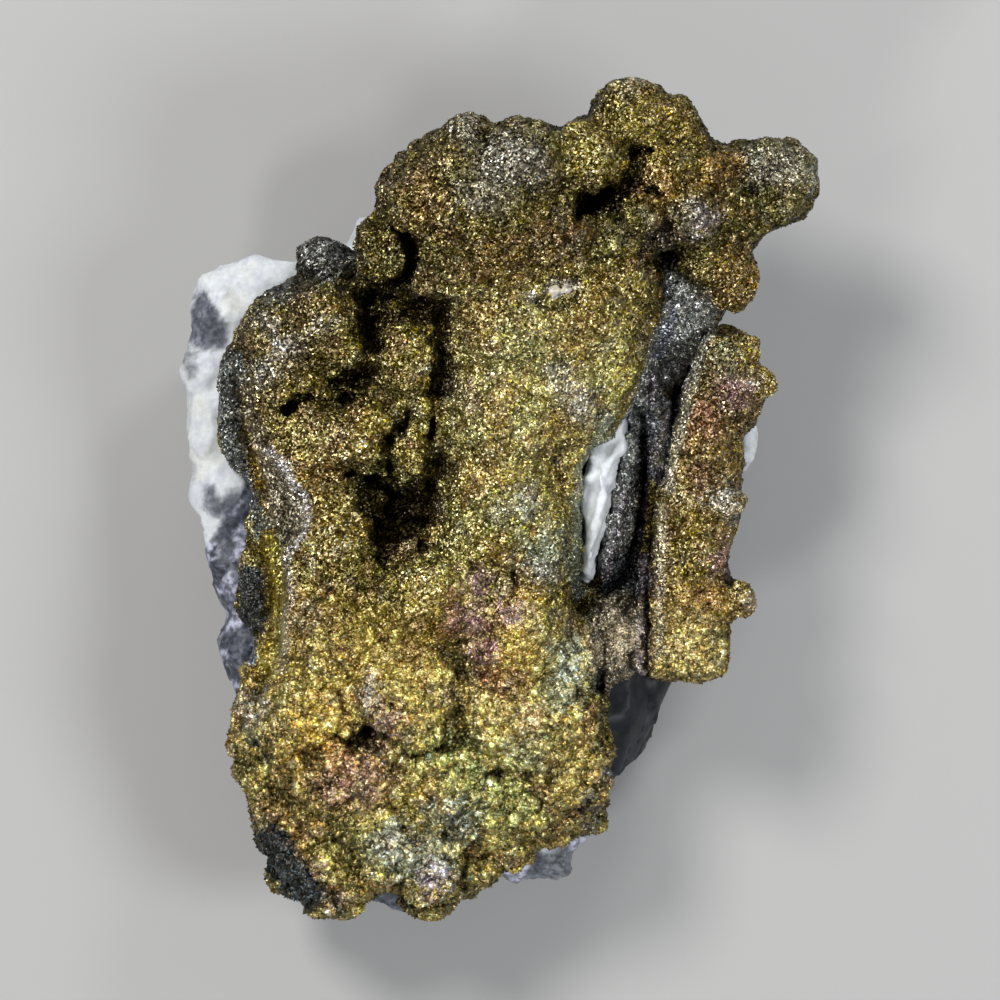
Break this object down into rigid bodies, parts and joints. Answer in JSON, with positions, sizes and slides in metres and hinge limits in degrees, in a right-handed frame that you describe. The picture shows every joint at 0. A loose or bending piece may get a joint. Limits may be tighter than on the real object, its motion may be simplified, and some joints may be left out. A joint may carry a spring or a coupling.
{
  "type": "rainbow pyrite specimen",
  "caption": "Hand specimen of gold botryoidal drusy pyrite with domes, knobs, a cavity and a cleft, on white calcite over dark slate, lying on its flat back.",
  "frame": {"origin": "centre of the specimen's box, on the surface that its flat back rests on", "axes": "+Z out of the druse, towards a viewer who looks down on the specimen; +Y along its length, towards the end with the big dome; +X across it, towards the cleft and the right wall"},
  "size_m": [0.0644, 0.0844, 0.0377],
  "materials": {
    "slate": "dark grey slate, dull with a faint sheen on its flat breaks",
    "calcite": "white calcite with blue-grey patches, waxy",
    "gold_druse": "glittering olive-gold druse with iridescent purple, teal, green and silver patches",
    "brown_druse": "glittering gold and rust-brown druse",
    "pale_grains": "pale cream calcite crystals, glassy"
  },
  "bodies": {
    "root": {"slate_matrix": "slate", "calcite_layer": "calcite", "pyrite_crust": "gold_druse", "pyrite_wall": "brown_druse", "calcite_grains": "pale_grains"}
  },
  "joints": []
}
